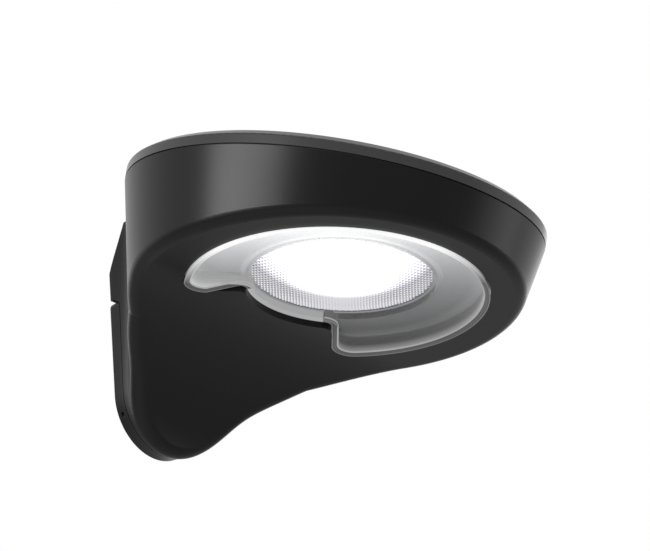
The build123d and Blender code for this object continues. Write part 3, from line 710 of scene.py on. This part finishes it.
def lens_plate(lens, outline):
    """Clear plate over the reflector, with the round hole of the dome."""
    dome_at = dome_middle(lens)
    first = direction_of(outline[0][0] - dome_at)
    ring = lens.dome_radius + lens.dome_notch
    notch = [p for p, _ in arc(dome_at, ring, math.pi - first, first, 60)]
    outer = [p + n * PLATE_LAP for p, n in outline] + notch[1:-1]
    hole = [p for p, _ in arc(dome_at, lens.dome_radius + PLATE_HOLE_GAP, 0.0, TURN, 120)][:-1]
    loops = [[p / MM for p in loop] for loop in (outer, hole)]
    flat, edges = [], []
    for loop in loops:
        base = len(flat)
        flat += loop
        edges += [(base + i, base + (i + 1) % len(loop)) for i in range(len(loop))]
    verts, _, faces, _, _, _ = delaunay_2d_cdt(flat, edges, [], 0, 1e-6)
    kept = []
    for face in faces:
        centre = sum((verts[i] for i in face), Vector((0, 0))) / len(face)
        if [is_inside(centre, loop) for loop in loops] == [True, False]:
            kept.append(tuple(face))
    middle = lens_middle(lens)
    count = len(verts)
    points = [(middle.x + v.x * MM, middle.y + v.y * MM, height)
              for height in (PLATE_Z, DOME_BASE_Z) for v in verts]
    upper = [tuple(i + count for i in reversed(face)) for face in kept]
    sides = [(a, b, b + count, a + count) for a, b in edges]
    made = mesh_object("lens_plate", points, kept + upper + sides, smooth=False)
    tidy_normals(made)
    return made


# ---- shape of the dome
def dome_prisms(lens):
    """Skin of the dome as a lattice of small four-sided pyramids."""
    pitch, depth = lens.prism_pitch, lens.prism_depth
    sag = DOME_BASE_Z - DOME_LOW.z
    ball = (lens.dome_radius ** 2 + sag ** 2) / (2 * sag)
    inner = lens.dome_radius + PRISM_LAP
    margin = 0.2 * pitch
    count = int(inner / pitch) + 1
    points, faces, index = [], [], {}

    def add_point(x, y, reach, sunk):
        """Add a point of the ball, sunk this far below its skin, and give its number."""
        drop = math.sqrt((ball - sunk) ** 2 - reach * reach) - (ball - sag)
        points.append((DOME_AT.x + x, DOME_AT.y + y, DOME_BASE_Z - drop))
        return len(points) - 1

    def corner(i, j):
        """Number of the point at a corner of the lattice, drawn in to the dome's rim."""
        if (i, j) not in index:
            x, y = i * pitch, j * pitch
            reach = math.hypot(x, y)
            if reach > inner:
                x, y, reach = x * inner / reach, y * inner / reach, inner
            index[i, j] = add_point(x, y, reach, depth)
        return index[i, j]

    for i in range(-count, count):
        for j in range(-count, count):
            x, y = (i + 0.5) * pitch, (j + 0.5) * pitch
            reach = math.hypot(x, y)
            if reach > inner + margin:
                continue
            apex = add_point(x, y, min(reach, inner - margin), 0.0)
            ring = [corner(i, j), corner(i + 1, j), corner(i + 1, j + 1), corner(i, j + 1)]
            faces += [(ring[k], ring[(k + 1) % 4], apex) for k in range(4)]
    return mesh_object("dome_prisms", points, faces, smooth=False)


def dome_skirt(lens, steps=72):
    """Part of the dome's rim that shows between the tongue's two corners."""
    start = direction_of(opening_outline(lens)[0][0] - dome_middle(lens))
    sweep = math.pi - 2 * start
    radius = lens.dome_radius + lens.dome_notch - SKIRT_GAP
    profile = [(radius, SKIRT_FOOT_Z), (radius, DOME_BASE_Z),
               (radius - SKIRT_THICK, DOME_BASE_Z), (radius - SKIRT_THICK, SKIRT_FOOT_Z)]
    angles = [start + sweep * i / steps for i in range(steps + 1)]
    rows, across = len(angles), len(profile)
    made = mesh_object("dome_skirt", turned_rows(profile, DOME_AT, angles),
                       row_faces(rows, across) + end_faces(rows, across))
    tidy_normals(made)
    return made


# ---- operators
class FENCELIGHT_OT_shell(bpy.types.Operator):
    """Give the housing, its bracket and its cover their satin black finishes"""
    bl_idname = "fence_light.shell"
    bl_label = "Housing"

    def execute(self, context):
        colours = context.scene.fence_light_colours
        dress(["body_shell"], plastic("satin_black_shell", colours.shell, 0.30, **{SPECULAR: 0.18}))
        dress(["wall_bracket"], plastic("bracket_black", colours.shell, 0.36, **{SPECULAR: 0.2}))
        # the cover's lighter colour is painted light standing in for the highlight on its band
        dress(["top_cover"], plastic("satin_black_cover", colours.cover, 0.26, **{SPECULAR: 0.35}))
        section = bead(SEAM_R - COVER_LINE_IN, COVER_LINE_UP, COVER_LINE_R)
        line = turned("cover_edge_line", section, Vector((0.0, 0.0, 0.0)))
        line.data.transform(Matrix.Translation(SEAM_AT) @ Matrix.Rotation(SEAM_TILT, 4, "X"))
        dark = plastic("cover_line", (0.001, 0.001, 0.001, 1), 0.6, **{SPECULAR: 0.05})
        finish_piece(line, "lamp", dark)
        dress(["cover_seal", "lens_seal"],
              plastic("seal_rubber", (0.006, 0.006, 0.006, 1), 0.7, depth=0.008 * MM))
        dress(["power_button"], plastic("button_rubber", (0.02, 0.02, 0.021, 1), 0.55))
        return {"FINISHED"}


class FENCELIGHT_OT_lens(bpy.types.Operator):
    """Build the clear crescent lens with its lip, over the grey reflector"""
    bl_idname = "fence_light.lens"
    bl_label = "Crescent Lens"

    def execute(self, context):
        lens = context.scene.fence_light_lens
        colours = context.scene.fence_light_colours
        outline = opening_outline(lens)
        dress(["reflector"], tray_material(colours, lens))
        finish_piece(lens_plate(lens, outline), "lamp", clear_lens_material(colours),
                     replaces=["crescent_lens"])
        low = LENS_Z - LIP_FACE_DROP
        near, far = LIP_FACE_INSETS
        lip_face = [(near, low), (far, low), (far, PLATE_Z), (near, PLATE_Z)]
        outer, inner = [bead(inset, LENS_Z + up, radius)
                        for inset, up, radius in (OUTER_LINE, INNER_LINE)]
        # painted light: the lip's face and its two bright lines glow, dim on one side and lit on the
        # other
        for name, profile, dim, lit in (("lens_outer_line", outer, 0.14, 1.0),
                                        ("lens_lip_face", lip_face, 0.055, 0.95),
                                        ("lens_inner_line", inner, 0.36, 1.0)):
            finish_piece(sweep_outline(name, outline, lens, profile), "lamp",
                         lip_material(name, lens, dim, lit))
        strip = [(WALL_INSETS[0], LENS_Z + up) for up in WALL_HEIGHTS]
        strip.append((WALL_INSETS[1], TRAY_Z - WALL_TOP_GAP))
        finish_piece(sweep_outline("lens_side_wall", outline, lens, strip, closed=False), "lamp",
                     side_wall_material(lens))
        return {"FINISHED"}


class FENCELIGHT_OT_dome(bpy.types.Operator):
    """Build the lit dome with its square prisms, its collar, skirt and flange"""
    bl_idname = "fence_light.dome"
    bl_label = "Prismatic Dome"

    def execute(self, context):
        lens = context.scene.fence_light_lens
        colours = context.scene.fence_light_colours
        finish_piece(dome_prisms(lens), "lamp",
                     dome_material(colours, lens.dome_radius), replaces=["dome_lens"])
        # painted bright ring: a glowing bead round the dome's rim
        ring_r = lens.dome_radius + lens.dome_notch - COLLAR_R - COLLAR_GAP
        collar = turned("dome_glow_collar", bead(ring_r, DOME_BASE_Z, COLLAR_R, 20), DOME_AT)
        finish_piece(collar, "lamp", lip_material("dome_glow_collar", lens, 0.30, 1.0))
        # painted light: the skirt glows like the lip
        finish_piece(dome_skirt(lens), "lamp",
                     lip_material("dome_skirt", lens, 0.40, 0.9))
        hole_r = lens.dome_radius + PRISM_LAP - FLANGE_INSIDE
        edge_r = (DOME_HIGH.x - DOME_LOW.x) / 2
        section = [(hole_r, DOME_BASE_Z), (edge_r, DOME_BASE_Z),
                   (edge_r, DOME_HIGH.z), (hole_r, DOME_HIGH.z)]
        flange = turned("dome_flange", section, DOME_AT, smooth=False)
        finish_piece(flange, "lamp", tray_material(colours, lens))
        return {"FINISHED"}


class FENCELIGHT_OT_inside(bpy.types.Operator):
    """Give the panel, boards, battery, screws and wires their finishes"""
    bl_idname = "fence_light.inside"
    bl_label = "Panel and Inside"

    def execute(self, context):
        dress(["cover_screws", "reflector_screws", "led_board_screws", "control_screws"],
              metal("zinc_steel", (0.62, 0.61, 0.58, 1), 0.25))
        dress(["battery_contacts", "led_link_pins"], metal("nickel_contact", (0.75, 0.72, 0.66, 1), 0.2))
        dress(["panel_board"], plastic("panel_laminate", (0.02, 0.02, 0.022, 1), 0.5))
        dress(["solar_cells"], solar_material())
        dress(["panel_window"], window_material())
        dress(["led_board"], plastic("white_mask", (0.8, 0.8, 0.78, 1), 0.35, tone=0.1))
        dress(["leds"], plastic("phosphor", (0.85, 0.72, 0.2, 1), 0.3,
                                **{"Emission Strength": 0.5, "Emission Color": (1, 0.93, 0.75, 1)}))
        dress(["control_board"], plastic("green_mask", (0.01, 0.09, 0.035, 1), 0.3))
        dress(["control_chips", "switch_body"], plastic("chip_epoxy", (0.012, 0.012, 0.013, 1), 0.5))
        dress(["capacitors"], metal("capacitor_can", (0.7, 0.7, 0.72, 1), 0.3))
        dress(["battery_cell"], plastic("cell_sleeve", (0.03, 0.10, 0.32, 1), 0.25))
        dress(["battery_holder"], plastic("holder_black", (0.014, 0.014, 0.015, 1), 0.5))
        dress(["battery_wires", "panel_wires", "switch_wires"],
              plastic("wire_sheath", (0.35, 0.015, 0.012, 1), 0.35))
        return {"FINISHED"}


# ---- studio
def floor_material():
    """Pale floor, clear from below."""
    made = bpy.data.materials.new("pale_floor")
    made.use_nodes = True
    tree = made.node_tree
    tree.nodes.clear()
    lit = node(tree, "ShaderNodeBsdfDiffuse", Color=(0.8, 0.8, 0.8, 1))
    clear = tree.nodes.new("ShaderNodeBsdfTransparent")
    below = node(tree, "ShaderNodeNewGeometry").outputs["Backfacing"]
    mix = tree.nodes.new("ShaderNodeMixShader")
    feed(tree, mix.inputs, (below, lit.outputs[0], clear.outputs[0]))
    out = tree.nodes.new("ShaderNodeOutputMaterial")
    tree.links.new(mix.outputs[0], out.inputs["Surface"])
    return made


def studio_world():
    """Even pale surroundings, plain white where they are seen, mirrored or looked at through glass."""
    made = bpy.data.worlds.new("studio")
    made.use_nodes = True
    tree = made.node_tree
    back = tree.nodes["Background"]
    back.inputs["Color"].default_value = (1, 1, 1, 1)
    path = node(tree, "ShaderNodeLightPath").outputs
    seen = math_node(tree, "ADD", path["Is Camera Ray"], path["Is Glossy Ray"])
    seen = math_node(tree, "ADD", seen, path["Is Transmission Ray"], clamp=True)
    tree.links.new(map_range(tree, seen, 0.0, 1.0, WORLD_LIGHT, WORLD_SEEN), back.inputs["Strength"])
    return made


def softbox(name, direction, distance, size, power):
    """A rectangular area light that faces the fence light from this direction."""
    data = bpy.data.lights.new(name, "AREA")
    data.shape = "RECTANGLE"
    data.size, data.size_y = size
    data.energy = power
    lamp = bpy.data.objects.new(name, data)
    bpy.context.scene.collection.objects.link(lamp)
    direction = Vector(direction).normalized()
    lamp.location = LAMPS_AIM + direction * distance
    lamp.rotation_euler = direction.to_track_quat("Z", "Y").to_euler()


class FENCELIGHT_OT_stage(bpy.types.Operator):
    """Set up the camera, the pale floor and the softboxes"""
    bl_idname = "fence_light.stage"
    bl_label = "Studio"

    def execute(self, context):
        stage = context.scene.fence_light_stage
        scene = context.scene
        scene.view_settings.view_transform = "Standard"
        data = bpy.data.cameras.new("camera")
        data.lens = stage.lens_mm
        data.sensor_width = 36.0
        data.clip_end = CLIP_END
        camera = bpy.data.objects.new("camera", data)
        scene.collection.objects.link(camera)
        distance = stage.view_width / 2 / (data.sensor_width / 2 / data.lens)
        turn = Matrix((RIGHT, UP, TOWARD)).transposed().to_4x4()
        camera.matrix_world = Matrix.Translation(AIM + TOWARD * distance) @ turn
        scene.camera = camera
        half = FLOOR_HALF
        floor = mesh_object("floor", [(-half, -half, 0), (half, -half, 0), (half, half, 0),
                                      (-half, half, 0)], [(0, 1, 2, 3)])
        floor.location.z = -stage.floor_drop
        floor.data.materials.append(floor_material())
        scene.world = studio_world()
        for name, (direction, distance, size, setting, share) in SOFTBOXES.items():
            softbox(name, direction, distance, size, getattr(stage, setting) * share)
        return {"FINISHED"}


class FENCELIGHT_PT_panel(bpy.types.Panel):
    """Sidebar panel of the fence light"""
    bl_idname = "FENCELIGHT_PT_panel"
    bl_label = "Fence Light"
    bl_space_type = "VIEW_3D"
    bl_region_type = "UI"
    bl_category = "Fence Light"

    def draw(self, context):
        scene = context.scene
        for settings in (scene.fence_light_lens, scene.fence_light_colours, scene.fence_light_stage):
            box = self.layout.box()
            for key in settings.__annotations__:
                box.prop(settings, key)
        for operator in OPERATORS:
            self.layout.operator(operator.bl_idname)


OPERATORS = (FENCELIGHT_OT_shell, FENCELIGHT_OT_lens, FENCELIGHT_OT_dome, FENCELIGHT_OT_inside,
             FENCELIGHT_OT_stage)
SETTINGS = {"fence_light_lens": FenceLightLens, "fence_light_colours": FenceLightColours,
            "fence_light_stage": FenceLightStage}


def register():
    """Add the settings, the operators and the panel."""
    for group in SETTINGS.values():
        bpy.utils.register_class(group)
    for name, group in SETTINGS.items():
        setattr(bpy.types.Scene, name, bpy.props.PointerProperty(type=group))
    for made in (*OPERATORS, FENCELIGHT_PT_panel):
        bpy.utils.register_class(made)


def unregister():
    """Take away what register added."""
    for made in (FENCELIGHT_PT_panel, *reversed(OPERATORS)):
        bpy.utils.unregister_class(made)
    for name in SETTINGS:
        delattr(bpy.types.Scene, name)
    for group in SETTINGS.values():
        bpy.utils.unregister_class(group)


def main():
    """Build everything."""
    register()
    bpy.ops.fence_light.shell()
    bpy.ops.fence_light.lens()
    bpy.ops.fence_light.dome()
    bpy.ops.fence_light.inside()
    bpy.ops.fence_light.stage()


if __name__ == "__main__":
    main()
